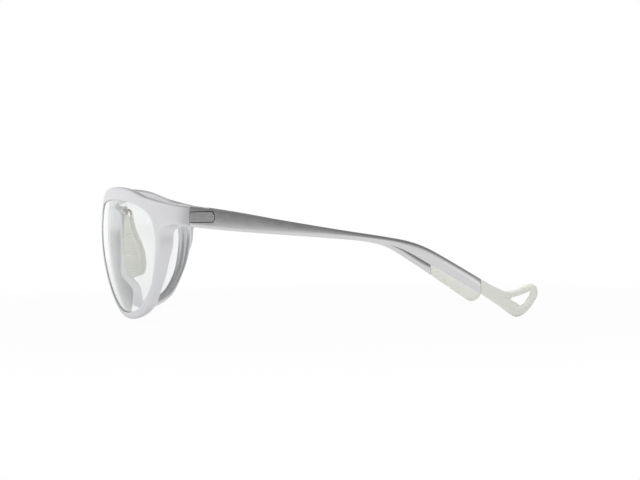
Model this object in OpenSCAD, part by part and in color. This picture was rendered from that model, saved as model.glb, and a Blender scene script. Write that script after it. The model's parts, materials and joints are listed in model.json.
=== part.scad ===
// Photochromic sunglasses: a wrapped front with two spherical lenses, ribbed nose pads
// on wire arms, hinged temples with a wire core, and silicone tips, one with a cord loop.
// Millimetres. The front faces -Y, the wearer's left is +X, and the rims and tips rest on Z = 0.

/* [Lenses] */
// Width of each lens opening
lens_w = 52.8; // [48:0.2:56]
// Height of each lens opening
lens_h = 46.2; // [40:0.2:50]
// Distance between the two lens openings
bridge_w = 19.2; // [16:0.2:24]
// Radius of the sphere that the front follows
wrap_r = 88; // [84:1:110]
// Thickness of each lens
lens_t = 1.8; // [1.4:0.1:2.2]
// Depth of the lens edge inside its groove
groove_d = 0.9; // [0.6:0.1:1.2]
// Height of the sphere's middle above the bottom of the lens openings
wrap_rise = 32.9; // [28:0.1:36]

/* [Front frame] */
// Width of the rim below and beside a lens
rim_w = 2.6; // [2.2:0.1:3.4]
// Height of the brow above a lens
brow_h = 5.2; // [4.6:0.1:7]
// Height of the brow at its outer corner
brow_end_h = 4; // [3.4:0.1:4.6]
// Width of the lip in front of and behind a lens
lip_t = 0.7; // [0.5:0.1:1.2]
// Height of the bridge at the middle
bridge_h = 11; // [8:0.5:13]
// Depth of the nasal wall behind the front-most point
nasal_wall_y = 7; // [6:0.5:8]
// Depth of the lower nasal flange behind the front-most point
flange_y = 13.2; // [11:0.2:14]
// Top of the lower nasal flange
flange_z = 13.6; // [11:0.2:14]
// Width of the end piece beyond the rim
turn_w = 5; // [4.4:0.2:7]
// Depth of the end piece behind the rim's outer edge
turn_l = 12.5; // [11.5:0.5:16]
// Height of the end piece at the hinge
end_h = 7.8; // [7.6:0.1:9]
// Thickness of the end piece at the hinge
end_t = 3.8; // [3.6:0.1:4.4]
// Drop of the middle of the hinge below the top of the lens openings
hinge_drop = 7.2; // [6.4:0.2:8.4]

/* [Hinges] */
// Radius of a hinge knuckle
knuckle_r = 1.6; // [1.4:0.1:1.8]
// Height of each outer knuckle
outer_knuckle_h = 1.7; // [1.4:0.1:2]
// Height of the middle knuckle
middle_knuckle_h = 1.5; // [1.2:0.1:2]
// Distance from the outer face to the hinge axis
axis_inset = 4.8; // [4.6:0.1:5.4]
// Radius of the hinge screw's shank
screw_r = 0.7; // [0.5:0.05:0.8]
// Radius of the hinge screw's head
screw_head_r = 1.15; // [1:0.05:1.4]
// Height of the hinge screw's head
screw_head_h = 0.7; // [0.5:0.1:0.9]
// Thickness of a hinge washer
washer_t = 0.2; // [0.15:0.05:0.3]
// Length of the tongue behind the joint
tongue_l = 9.6; // [8:0.2:12]
// Height of the tongue
tongue_h = 3.8; // [3.4:0.1:4.4]
// Thickness of the tongue
tongue_t = 1.5; // [1.2:0.1:1.7]
// Thickness of the temple leaf's plate
leaf_t = 0.95; // [0.8:0.05:1.1]
// Radius of a leaf screw's shank
small_screw_r = 0.5; // [0.4:0.05:0.6]

/* [Temples] */
// Distance from the joint to the rear end of the loop on the left tip
temple_l = 137; // [130:0.5:145]
// Distance from the joint to the rear end of the right tip
right_temple_l = 127.7; // [122:0.5:133]
// Distance from the joint to the left temple's bend behind the ear
bend_s = 84; // [78:0.5:90]
// Distance from the joint to the right temple's bend behind the ear
right_bend_s = 87.5; // [80:0.5:92]
// Drop of the left temple's straight part, in degrees
temple_drop = 7.6; // [5:0.1:9]
// Drop of the right temple's straight part, in degrees
right_temple_drop = 9; // [6:0.1:10]
// Height of the left temple's end above the surface that the object rests on
left_seam_z = 12.4; // [11:0.2:14]
// Height of the right temple's end above the surface that the object rests on
right_seam_z = 15.4; // [14:0.2:17.4]
// Height of a temple at its narrowest
waist_h = 2.8; // [2.6:0.1:5]
// Height of a temple behind the ear
ear_h = 5.2; // [5:0.1:6.4]
// Thickness of a temple at the hinge
temple_t = 3.6; // [3.4:0.1:4.2]
// Thickness of a temple along the ear
temple_thin_t = 2.8; // [2.4:0.1:3.2]
// Distance that the rear end curves inwards
tip_inset = 15; // [10:0.5:18]
// Distance from the joint to the start of the inward curve
bow_s = 40; // [30:1:50]

/* [Tips] */
// Length of the left silicone tip
left_tip_l = 23.5; // [20:0.5:25]
// Length of the right silicone tip
right_tip_l = 22.7; // [18:0.5:25]
// Thickness of a silicone tip
tip_t = 4.4; // [4:0.1:5]
// Height of the wire core
core_h = 1.4; // [1.2:0.1:2]
// Thickness of the wire core
core_t = 0.7; // [0.5:0.1:1]
// Reach of the wire core into the left tip
left_core_reach = 7; // [5:0.5:8]
// Reach of the wire core into the right tip
right_core_reach = 14; // [8:0.5:15]

/* [Nose pads] */
// Height of a nose pad
pad_h = 28; // [24:0.5:28.5]
// Depth of a nose pad
pad_d = 7; // [6:0.2:8]
// Thickness of a nose pad
pad_t = 2.2; // [1.8:0.1:2.6]
// Distance between two ribs of a nose pad
rib_pitch = 0.9; // [0.8:0.1:1.5]
// Radius of the nose arm's wire
wire_r = 0.6; // [0.5:0.05:0.7]
// Outward lean of a nose pad at rest, in degrees
pad_lean = 10; // [8:0.5:12]
// Distance from the lens opening to the nose arm's pin
pin_inset = 2.2; // [2:0.1:2.6]
// Drop of the pin below the top of the lens opening
pin_drop = 4.2; // [3.8:0.1:4.8]
// Distance from the nasal wall back to the nose arm's wire
arm_out = 4.2; // [3.8:0.1:5]

/* [Hidden] */
$fn = 64;

// Clearances: round a seated piece, a tight pin, a running pin and the line round the tongue
seat_c = 0.04;
tight_c = 0.01;
run_c = 0.03;
line_c = 0.2;

// Overlap that joins the pieces of one solid, and reach of a cut past a face
join = 0.4;
past = 2;

// The lens opening's place, and the height of the sphere's middle
lens_x = bridge_w / 2;
lens_z = rim_w;
lens_top = lens_z + lens_h;
wrap_z = lens_z + wrap_rise;
rim_t = lens_t + 2 * lip_t;

// Shape of a lens opening, in shares of its width and height, from the top nasal corner outwards
LENS_SHARES = [[0.064, 0.93], [0.235, 0.985], [0.5, 1], [0.756, 0.97], [0.94, 0.88], [1, 0.71],
              [0.98, 0.495], [0.895, 0.265], [0.72, 0.08], [0.46, 0], [0.225, 0.03],
              [0.093, 0.18], [0.045, 0.43], [0, 0.73]];
curve_steps = 4;

// A point on a smooth curve between p1 and p2
function between(p0, p1, p2, p3, t) =
    0.5 * (2 * p1 + (p2 - p0) * t + (2 * p0 - 5 * p1 + 4 * p2 - p3) * t * t
           + (3 * p1 - p0 - 3 * p2 + p3) * t * t * t);

// A closed smooth curve through points
function closed_curve(p, steps) =
    [for (i = [0 : len(p) - 1], k = [0 : steps - 1])
        between(p[(i + len(p) - 1) % len(p)], p[i], p[(i + 1) % len(p)],
                p[(i + 2) % len(p)], k / steps)];

// An open smooth curve through points
function open_curve(p, steps) =
    concat([for (i = [0 : len(p) - 2], k = [0 : steps - 1])
        between(p[max(i - 1, 0)], p[i], p[i + 1], p[min(i + 2, len(p) - 1)], k / steps)],
        [p[len(p) - 1]]);

// Outward normal of a closed clockwise outline at point i
function normal_at(p, i) =
    let (d = p[(i + 1) % len(p)] - p[(i + len(p) - 1) % len(p)])
    [-d[1], d[0]] / norm(d);

function smooth(t) = let (c = max(0, min(1, t))) c * c * (3 - 2 * c);

// Width of the frame outside a lens opening in the direction of normal n, with the brow
// lower towards its outer corner
brow_turn = 0.35;
function brow_at(n) = brow_h - (brow_h - brow_end_h) * smooth(n[0] / brow_turn);
function rim_width(n) = rim_w + (brow_at(n) - rim_w) * smooth((n[1] + 0.1) / 0.8);

// Outlines round the left lens, as X and Z
function lens_outline() =
    [for (p = closed_curve(LENS_SHARES, curve_steps)) [lens_x + lens_w * p[0], lens_z + lens_h * p[1]]];
function grown(p, d) = [for (i = [0 : len(p) - 1]) p[i] + d * normal_at(p, i)];
function rim_outline() =
    let (p = lens_outline())
    [for (i = [0 : len(p) - 1]) p[i] + rim_width(normal_at(p, i)) * normal_at(p, i)];

// Depth of the front's surface at X and Z, behind the front-most point
function wrap_y(x, z) = wrap_r - sqrt(wrap_r * wrap_r - x * x - (z - wrap_z) * (z - wrap_z));

// Places of the hinge: the rim's outer edge, from which the end piece turns back to the joint
hinge_z = lens_top - hinge_drop;
turn_x = lens_x + lens_w + rim_w;
turn_y = wrap_y(turn_x, hinge_z);
turn_a = asin(turn_x / wrap_r);
side_x = turn_x + turn_w;
joint_y = turn_y + turn_l;
gap_y = 0.1;
rear_y = joint_y - gap_y;
axis_x = side_x - axis_inset;
inner_x = side_x - end_t;

// The origin halves the whole depth
front_y = -(joint_y + temple_l) / 2;

// The hinge's inner sizes
relief_c = 0.15;
leaf_skin = 1.1;
block_l = 4;
tongue_fall = 0.3;
tongue_skin = 0.05;
tongue_root = 1;
knuckle_root = 2.6;
front_screw_s = 2.9;
screw_end = 0.6;
screw_gap = 0.1;
small_head_rim = 0.4;
small_head_h = 0.45;
slot_w = 0.3;
hinge_h = 2 * outer_knuckle_h + middle_knuckle_h + 2 * washer_t + 4 * seat_c;
knuckle_z0 = hinge_z - hinge_h / 2;
middle_z0 = hinge_z - middle_knuckle_h / 2;
relief_r = knuckle_r + relief_c;
block_x0 = axis_x + relief_r + seat_c;
block_x1 = side_x - leaf_skin;
tongue_z = hinge_z - tongue_fall;
front_screw_y = joint_y - front_screw_s;
small_head_r = small_screw_r + small_head_rim;

// Centre line of a temple: height at distance s behind the joint, with the bend as steep as
// the height of the temple's end asks
bend_soft = 4;
function bend(right) = right ? right_bend_s : bend_s;
function fall(right) = tan(right ? right_temple_drop : temple_drop);
function soft_step(s, right) = bend_soft * ln(1 + exp((s - bend(right)) / bend_soft));
function tip_s(right) = right ? right_temple_l - right_tip_l : temple_l - left_tip_l;
function seam_z(right) = right ? right_seam_z : left_seam_z;
function steeper(right) =
    (hinge_z - fall(right) * tip_s(right) - seam_z(right)) / soft_step(tip_s(right), right);
function temple_z(s, right) = hinge_z - fall(right) * s - steeper(right) * soft_step(s, right);
function temple_slope(s, right) = temple_z(s + 0.5, right) - temple_z(s - 0.5, right);

// Height of a temple at distance s: it tapers to its waist and grows again behind the ear
taper_s = 2;
waist_lead = 7;
flare_lead = 8;
flare_l = 18;
function temple_h(s, right) =
    end_h - (end_h - waist_h) * smooth((s - taper_s) / (bend(right) - waist_lead - taper_s))
    + (ear_h - waist_h) * smooth((s - bend(right) + flare_lead) / flare_l);

// Outer face and thickness of a temple in plan
function temple_x(s) =
    side_x - tip_inset * pow(max(0, s - bow_s) / (temple_l - bow_s), 2);
thin_s = 12;
thin_l = 40;
function temple_thick(s) = temple_t - (temple_t - temple_thin_t) * smooth((s - thin_s) / thin_l);
function core_x(s) = temple_x(s) - temple_thin_t / 2;

// Distances along a temple at which its outline has points
function stations(s0, s1, step) =
    let (n = ceil((s1 - s0) / step)) [for (i = [0 : n]) s0 + (s1 - s0) * i / n];

// Side outline of a band along the centre line, as Y and Z, with its ends cut upright
function band_point(st, right, heights, i, up) =
    let (m = temple_slope(st[i], right),
         k = sqrt(1 + m * m),
         upright = i == 0 || i == len(st) - 1,
         half = up * heights[i] / 2)
    [joint_y + st[i] - (upright ? 0 : half * m / k),
     temple_z(st[i], right) + half * (i == 0 ? 1 : upright ? k : 1 / k)];
function side_band(st, right, heights) =
    concat([for (i = [0 : len(st) - 1]) band_point(st, right, heights, i, 1)],
           [for (i = [len(st) - 1 : -1 : 0]) band_point(st, right, heights, i, -1)]);

// Plan outline of a band between two faces, as X and Y
function plan_band(st, outer, inner) =
    concat([for (i = [0 : len(st) - 1]) [outer[i], joint_y + st[i]]],
           [for (i = [len(st) - 1 : -1 : 0]) [inner[i], joint_y + st[i]]]);

// Silhouettes of the silicone tips behind their seam, as distance behind it and height, drawn
// for a tip of the length and seam height in LOOP_DRAWN and BLUNT_DRAWN and scaled to the real ones
LOOP_DRAWN = [23.5, 12.4];
LOOP_OUTLINE = [[5.5, 11.8], [8.5, 10.55], [11.5, 10.3], [15, 11.1], [18.5, 12.45], [20.5, 12.95],
                [22.5, 12.2], [23.5, 10], [23, 7.6], [20.5, 4], [17.4, 1], [14.6, 0], [12.2, 0.9],
                [7.5, 4.3]];
LOOP_HOLE = [[12.4, 7.7], [16.6, 8.5], [19.2, 9.2], [18.3, 7.3], [16.2, 4.4], [14.6, 5.7]];
BLUNT_DRAWN = [22.7, 15.8];
BLUNT_OUTLINE = [[7.5, 14], [15, 9.5], [20.5, 6.5], [22.7, 4.6], [22.6, 2.4], [20.8, 0.6],
                 [18.6, 0], [16.4, 0.7], [12.5, 3.4], [6.5, 7.8]];

// Everything on the left is made once, and the right side mirrors it
module at_side(right) {
    translate([0, front_y, 0]) mirror([right ? 1 : 0, 0, 0]) children();
}

// A prism along Y over an outline in X and Z
module prism_y(outline, y0, y1) {
    translate([0, y1, 0]) rotate([90, 0, 0]) linear_extrude(y1 - y0) polygon(outline);
}

// A prism along X over an outline in Y and Z
module prism_x(outline, x0, x1) {
    translate([x0, 0, 0]) rotate([90, 0, 90]) linear_extrude(x1 - x0) polygon(outline);
}

// A prism along Z over an outline in X and Y
module prism_z(outline, z0, z1) {
    translate([0, 0, z0]) linear_extrude(z1 - z0) polygon(outline);
}

module block(low, high) {
    translate(low) cube(high - low);
}

module ball(r) {
    translate([0, wrap_r, wrap_z]) sphere(r, $fn = 128);
}

// The layer between two depths below the front's surface
module layer(d0, d1) {
    difference() {
        ball(wrap_r - d0);
        ball(wrap_r - d1);
    }
}

// Depth and height that the prisms have to reach
front_deep = joint_y + past;
front_high = lens_top + brow_h + past;

// Front frame

module rim() {
    intersection() {
        layer(0, rim_t);
        prism_y(rim_outline(), -past, front_deep);
    }
}

// The wall beside the nose, deeper in the flange at its lower end
flange_cut = 1.5;
top_cut = 2.5;
foot_h = 4;
wall_x1 = lens_x + 0.24 * lens_w;
module nasal_wall() {
    step_z = flange_z + flange_cut;
    rear = [[0, -past], [flange_y - flange_cut, -past], [flange_y, foot_h],
            [flange_y, flange_z - flange_cut], [flange_y - flange_cut, flange_z],
            [nasal_wall_y + flange_cut, step_z], [nasal_wall_y, step_z + 2 * flange_cut],
            [nasal_wall_y, lens_top - 2 * top_cut], [nasal_wall_y - top_cut, lens_top], [0, lens_top]];
    intersection() {
        ball(wrap_r - lip_t);
        prism_y(rim_outline(), -past, front_deep);
        prism_x(rear, 0, wall_x1);
    }
}

// The bridge that joins the rims, with an arch below and a saddle above
bridge_run = 10;
bridge_extra = 0.6;
module bridge() {
    half = lens_x + rim_w;
    arch_w = 0.75 * lens_x;
    arch_h = arch_w / 2;
    low_z = lens_top - bridge_h - arch_h;
    saddle_h = 0.28 * brow_h;
    run_h = 0.62 * brow_h;
    top = open_curve([[-half - bridge_run, lens_top + run_h], [-half, lens_top + saddle_h], [0, lens_top],
                      [half, lens_top + saddle_h], [half + bridge_run, lens_top + run_h]], 3);
    arch = [for (a = [0 : 15 : 180]) [arch_w * cos(a), low_z + arch_h * sin(a)]];
    intersection() {
        layer(0, rim_t + bridge_extra);
        prism_y(concat(top, [[half, low_z]], arch, [[-half, low_z]]), -past, front_deep);
        block([-half - rim_w, -past, 0], [half + rim_w, front_deep, front_high]);
    }
}

// The end piece, which turns smoothly from the rim's outer edge to the temple
turn_steps = 6;
turn_pull = 2.06 * norm([turn_w, turn_l]);
function turn_point(t) =
    let (p1 = [turn_x, turn_y], p2 = [side_x, joint_y])
    between(p2 - turn_pull * [cos(turn_a), sin(turn_a)], p1, p2, p1 + turn_pull * [0, 1], t);

// The top edge runs from the brow's shoulder, at the rim's outer edge, down to the temple
end_in = 7;
end_sink = 0.5;
shoulder_z = lens_z + 0.88 * lens_h + 1.28 * brow_end_h;
shoulder_y = wrap_y(lens_x + lens_w, shoulder_z);
module end_piece() {
    in_x = turn_x - end_in;
    in_y = wrap_y(in_x, hinge_z) + rim_t;
    top_z = hinge_z + end_h / 2;
    low_z = hinge_z - end_h / 2;
    run = rear_y - shoulder_y;
    outer = concat([for (x = [in_x, (in_x + turn_x) / 2]) [x, wrap_y(x, hinge_z) + end_sink]],
                   [for (i = [0 : turn_steps]) turn_point(i / turn_steps)]);
    plan = concat([for (p = outer) [p[0], min(p[1], rear_y)]],
                  [[inner_x, rear_y], [inner_x, rear_y - 0.36 * run],
                   [inner_x - end_t / 2, rear_y - 0.5 * run], [in_x, in_y]]);
    foot_z = low_z - 0.62 * end_h;
    side = [[shoulder_y - 0.4 * run, shoulder_z + 0.03 * end_h],
            [shoulder_y + 0.12 * run, shoulder_z], [shoulder_y + 0.4 * run, top_z + 0.21 * end_h],
            [shoulder_y + 0.72 * run, top_z + 0.06 * end_h], [rear_y, top_z], [rear_y, low_z],
            [rear_y - 0.25 * run, low_z + 0.05 * end_h], [rear_y - 0.34 * run, low_z - 0.02 * end_h],
            [rear_y - 0.41 * run, low_z - 0.22 * end_h], [rear_y - 0.48 * run, foot_z],
            [shoulder_y - 0.4 * run, foot_z]];
    intersection() {
        prism_z(plan, 0, front_high);
        prism_x(side, 0, side_x + past);
    }
}

// The boss that the nose arm's pin turns in
boss_wall = 1.1;
boss_l = 1;
pin_x = lens_x - pin_inset;
pin_z = lens_top - pin_drop;
boss_y = nasal_wall_y + boss_l;
module along_y(r, y0, y1) {
    translate([pin_x, y0, pin_z]) rotate([-90, 0, 0]) cylinder(r = r, h = y1 - y0);
}

module front_side() {
    rim();
    nasal_wall();
    end_piece();
    along_y(wire_r + boss_wall, rim_t, boss_y);
}

module front_cuts() {
    prism_y(lens_outline(), -past, front_deep);
    intersection() {
        layer(lip_t - seat_c, lip_t + lens_t + seat_c);
        prism_y(grown(lens_outline(), groove_d + seat_c), -past, front_deep);
    }
    along_y(wire_r + run_c, rim_t + boss_l / 2, boss_y + past);
    front_leaf_space(seat_c);
    translate([axis_x, joint_y, knuckle_z0 - seat_c]) cylinder(r = relief_r, h = end_h);
    translate([inner_x - past, front_screw_y, hinge_z]) rotate([0, 90, 0])
        cylinder(r = small_screw_r + seat_c, h = past + block_x1 - inner_x);
}

module front_frame() {
    color([0.84, 0.84, 0.86]) translate([0, front_y, 0]) difference() {
        union() {
            front_side();
            mirror([1, 0, 0]) front_side();
            bridge();
        }
        front_cuts();
        mirror([1, 0, 0]) front_cuts();
    }
}

// Lenses

module lens(right) {
    color([0.93, 0.95, 0.94, 0.35]) at_side(right) intersection() {
        layer(lip_t, lip_t + lens_t);
        prism_y(grown(lens_outline(), groove_d), -past, front_deep);
    }
}

// Hinges

// The front leaf without its knuckles, grown by a clearance
module front_leaf_space(c) {
    block([block_x0 - c, rear_y - block_l - c, tongue_z - tongue_h / 2 - c],
          [block_x1 + c, rear_y + (c > 0 ? past : 0), tongue_z + tongue_h / 2 + c]);
    for (z = [knuckle_z0, knuckle_z0 + hinge_h - outer_knuckle_h])
        block([axis_x - c, rear_y - knuckle_root - c, z - c],
              [block_x0 + join + c, rear_y + (c > 0 ? past : 0), z + outer_knuckle_h + c]);
}

// The tongue that lies flush in the temple's outer face
module tongue(c) {
    r = tongue_h / 2 + c;
    x0 = side_x - tongue_t - c;
    x1 = side_x + (c > 0 ? past : -tongue_skin);
    translate([x0, 0, tongue_z]) rotate([90, 0, 90]) linear_extrude(x1 - x0) union() {
        translate([joint_y - gap_y - (c > 0 ? past : 0), -r])
            square([tongue_l + gap_y + c - r * 0.6 + (c > 0 ? past : 0), 2 * r]);
        intersection() {
            translate([joint_y + tongue_l + c - r * 1.25, 0]) circle(r * 1.25);
            translate([joint_y, -r]) square([tongue_l + past, 2 * r]);
        }
    }
}

module front_leaf(right) {
    color([0.74, 0.74, 0.75]) at_side(right) difference() {
        union() {
            front_leaf_space(0);
            tongue(0);
            block([side_x - tongue_t, joint_y - tongue_root, tongue_z - tongue_h / 2],
                  [block_x1, joint_y + join, tongue_z + tongue_h / 2]);
            for (z = [knuckle_z0, knuckle_z0 + hinge_h - outer_knuckle_h])
                translate([axis_x, joint_y, z]) cylinder(r = knuckle_r, h = outer_knuckle_h);
        }
        translate([axis_x, joint_y, knuckle_z0 - past])
            cylinder(r = screw_r + tight_c, h = hinge_h + 2 * past);
        translate([inner_x, front_screw_y, hinge_z]) rotate([0, 90, 0])
            cylinder(r = small_screw_r + tight_c, h = block_x1 - screw_end - inner_x);
    }
}

// Plate of the temple leaf, let into the temple's inner face
plate_proud = 0.4;
plate_l = 9.8;
plate_h = 4.2;
first_screw_s = 3.1;
screw_pitch = 4.2;
tongue_floor = 0.3;
plate_x0 = side_x - temple_t - plate_proud;
plate_x1 = plate_x0 + leaf_t;
plate_s0 = relief_r + gap_y;
leaf_screws_s = [for (i = [0 : 1]) plate_s0 + first_screw_s + i * screw_pitch];
leaf_screw_l = side_x - tongue_t - line_c - plate_x1 - tongue_floor;

module temple_leaf(right) {
    color([0.7, 0.7, 0.72]) at_side(right) difference() {
        union() {
            block([plate_x0, joint_y + plate_s0, hinge_z - plate_h / 2],
                  [plate_x1, joint_y + plate_s0 + plate_l, hinge_z + plate_h / 2]);
            block([axis_x, joint_y, middle_z0],
                  [plate_x1, joint_y + plate_s0 + join, middle_z0 + middle_knuckle_h]);
            translate([axis_x, joint_y, middle_z0]) cylinder(r = knuckle_r, h = middle_knuckle_h);
        }
        translate([axis_x, joint_y, middle_z0 - past])
            cylinder(r = screw_r + run_c, h = middle_knuckle_h + 2 * past);
        for (s = leaf_screws_s)
            translate([plate_x0 - past, joint_y + s, hinge_z]) rotate([0, 90, 0])
                cylinder(r = small_screw_r + tight_c, h = leaf_t + 2 * past);
    }
}

module hinge_screw(right) {
    color([0.6, 0.6, 0.62]) at_side(right) difference() {
        union() {
            translate([axis_x, joint_y, knuckle_z0]) cylinder(r = screw_r, h = hinge_h + join);
            translate([axis_x, joint_y, knuckle_z0 + hinge_h]) cylinder(r = screw_head_r, h = screw_head_h);
        }
        translate([axis_x - screw_head_r - past, joint_y - slot_w / 2,
                   knuckle_z0 + hinge_h + screw_head_h - slot_w])
            cube([2 * (screw_head_r + past), slot_w, past]);
    }
}

module hinge_washers(right) {
    color([0.9, 0.9, 0.88]) at_side(right)
        for (z = [knuckle_z0 + outer_knuckle_h + seat_c, middle_z0 + middle_knuckle_h + seat_c])
            translate([axis_x, joint_y, z]) difference() {
                cylinder(r = knuckle_r, h = washer_t);
                translate([0, 0, -past]) cylinder(r = screw_r + run_c, h = washer_t + 2 * past);
            }
}

// A small screw along X with its head inwards
module small_screw(x, y, length) {
    translate([x, y, hinge_z]) rotate([0, 90, 0]) {
        cylinder(r = small_screw_r, h = length);
        translate([0, 0, -small_head_h]) cylinder(r = small_head_r, h = small_head_h);
    }
}

module front_leaf_screw(right) {
    color([0.6, 0.6, 0.62]) at_side(right)
        small_screw(inner_x, front_screw_y, block_x1 - screw_end - screw_gap - inner_x);
}

module temple_leaf_screws(right) {
    color([0.6, 0.6, 0.62]) at_side(right)
        for (s = leaf_screws_s) small_screw(plate_x0, joint_y + s, leaf_t + leaf_screw_l);
}

// Temples

core_gap = 3.3;
core_s0 = max(plate_s0 + plate_l, tongue_l) + core_gap;
function core_s1(right) = tip_s(right) + (right ? right_core_reach : left_core_reach);

// The wire that runs inside the temple and its tip, grown by a clearance
module core_shape(right, c) {
    st = stations(core_s0 - c, core_s1(right) + c, 9);
    intersection() {
        prism_x(side_band(st, right, [for (s = st) core_h + 2 * c]), 0, side_x + past);
        prism_z(plan_band(st, [for (s = st) core_x(s) + core_t / 2 + c],
                          [for (s = st) core_x(s) - core_t / 2 - c]), -past, front_high);
    }
}

module temple(right) {
    st = stations(0, tip_s(right), 6);
    color([0.7, 0.7, 0.72]) at_side(right) difference() {
        intersection() {
            prism_x(side_band(st, right, [for (s = st) temple_h(s, right)]), 0, side_x + past);
            prism_z(plan_band(st, [for (s = st) temple_x(s)],
                              [for (s = st) temple_x(s) - temple_thick(s)]), -past, front_high);
        }
        core_shape(right, seat_c);
        tongue(line_c);
        translate([axis_x, joint_y, hinge_z - end_h]) cylinder(r = relief_r, h = 2 * end_h);
        block([plate_x0 - past, joint_y - past, hinge_z - plate_h / 2 - seat_c],
              [plate_x1 + seat_c, joint_y + plate_s0 + plate_l + seat_c, hinge_z + plate_h / 2 + seat_c]);
        for (s = leaf_screws_s)
            translate([plate_x0, joint_y + s, hinge_z]) rotate([0, 90, 0])
                cylinder(r = small_screw_r + tight_c, h = leaf_t + leaf_screw_l + screw_gap);
    }
}

module temple_core(right) {
    color([0.62, 0.62, 0.63]) at_side(right) core_shape(right, 0);
}

module temple_tip(right) {
    s0 = tip_s(right) + seat_c;
    seam_half = ear_h / 2 * norm([1, temple_slope(tip_s(right), right)]);
    reach = (right ? right_temple_l : temple_l) - s0;
    drawn = right ? BLUNT_DRAWN : LOOP_DRAWN;
    function placed(p) = [joint_y + s0 + p[0] * reach / drawn[0], max(0, p[1] * seam_z(right) / drawn[1])];
    seam = [for (up = [1, -1]) [joint_y + s0, seam_z(right) + up * seam_half]];
    base = [for (p = right ? BLUNT_OUTLINE : LOOP_OUTLINE) placed(p)];
    outline = [for (p = open_curve(concat([seam[0]], base, [seam[1]]), 3)) [p[0], max(0, p[1])]];
    st = stations(s0 - past, s0 + reach + past, 4);
    color([0.92, 0.92, 0.88]) at_side(right) difference() {
        intersection() {
            prism_x(outline, 0, side_x + past);
            prism_z(plan_band(st, [for (s = st) core_x(s) + tip_t / 2],
                              [for (s = st) core_x(s) - tip_t / 2]), -past, front_high);
        }
        core_shape(right, seat_c);
        if (!right)
            prism_x([for (p = closed_curve(LOOP_HOLE, 4)) placed(p)], 0, side_x + past);
    }
}

// Nose pads, made upright below the pin and then leaned outwards about it

arm_y = nasal_wall_y + arm_out;
arm_back = 0.1;
pad_front = 1.1;
pad_top = -1.6;
rib_proud = 0.2;

module leaned(right) {
    at_side(right) translate([pin_x, 0, pin_z]) rotate([0, -pad_lean, 0]) children();
}

// The pad's silhouette as Y and Z below the pin
function pad_outline() =
    let (y0 = arm_y - pad_front, low = pad_top - pad_h, d = pad_d)
    closed_curve([[y0 + 0.1, pad_top], [y0 + 0.25 * d, pad_top - 0.3],
                  [y0 + 0.42 * d, pad_top - 0.25 * pad_h],
                  [y0 + 0.8 * d, pad_top - 0.47 * pad_h], [y0 + d, pad_top - 0.66 * pad_h],
                  [y0 + d, low + 0.16 * pad_h], [y0 + 0.72 * d, low + 0.3], [y0 + 0.35 * d, low + 0.5],
                  [y0 + 0.08 * d, low + 0.18 * pad_h], [y0 - 0.1, pad_top - 0.5 * pad_h]], 4);

wire_l = 0.72 * pad_h;
drop_r = wire_r - 0.06;
module wire(c) {
    translate([0, arm_y, 0]) rotate([atan(arm_back), 0, 0])
        translate([0, 0, -wire_l]) cylinder(r = drop_r + c, h = wire_l + (c > 0 ? past : 0));
}

module nose_arm(right) {
    pin_y = rim_t + boss_l / 2 + gap_y;
    color([0.66, 0.62, 0.58]) leaned(right) union() {
        translate([0, pin_y, 0]) rotate([-90, 0, 0]) cylinder(r = wire_r, h = arm_y - pin_y + wire_r);
        wire(0);
    }
}

module nose_pad(right) {
    rib_w = 0.45 * rib_pitch;
    rib_n = floor(0.62 * pad_h / rib_pitch);
    color([0.82, 0.83, 0.76, 0.9]) leaned(right) difference() {
        intersection() {
            union() {
                translate([-pad_t / 2, 0, 0]) prism_x(pad_outline(), 0, pad_t);
                for (i = [0 : rib_n - 1])
                    translate([-pad_t / 2 - rib_proud, arm_y - pad_d, pad_top - 0.3 * pad_h - i * rib_pitch])
                        cube([pad_t + 2 * rib_proud, 2 * pad_d, rib_w]);
            }
            prism_x(pad_outline(), -pad_t, pad_t);
        }
        wire(seat_c);
    }
}

front_frame();
lens(false);  // lens_left
lens(true);  // lens_right
nose_pad(false);  // nose_pad_left
nose_pad(true);  // nose_pad_right
nose_arm(false);  // nose_arm_left
nose_arm(true);  // nose_arm_right
front_leaf(false);  // front_leaf_left
front_leaf(true);  // front_leaf_right
temple_leaf(false);  // temple_leaf_left
temple_leaf(true);  // temple_leaf_right
hinge_screw(false);  // hinge_screw_left
hinge_screw(true);  // hinge_screw_right
hinge_washers(false);  // hinge_washers_left
hinge_washers(true);  // hinge_washers_right
front_leaf_screw(false);  // front_leaf_screw_left
front_leaf_screw(true);  // front_leaf_screw_right
temple_leaf_screws(false);  // temple_leaf_screws_left
temple_leaf_screws(true);  // temple_leaf_screws_right
temple(false);  // temple_left
temple(true);  // temple_right
temple_core(false);  // temple_core_left
temple_core(true);  // temple_core_right
temple_tip(false);  // temple_tip_left
temple_tip(true);  // temple_tip_right
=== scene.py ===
# %% [markdown]
# Sunglasses in Blender, built around a fixed frame of solids.
# The solids already hold every size, joint and fit. Here each visible piece is modelled again with soft
# edges and smooth curves, and gets its finish. First the frame is loaded. Nothing that is modelled here
# may stand outside it.

# %% Load the frame
import json
import math

import bpy
from mathutils import Matrix, Vector

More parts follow.
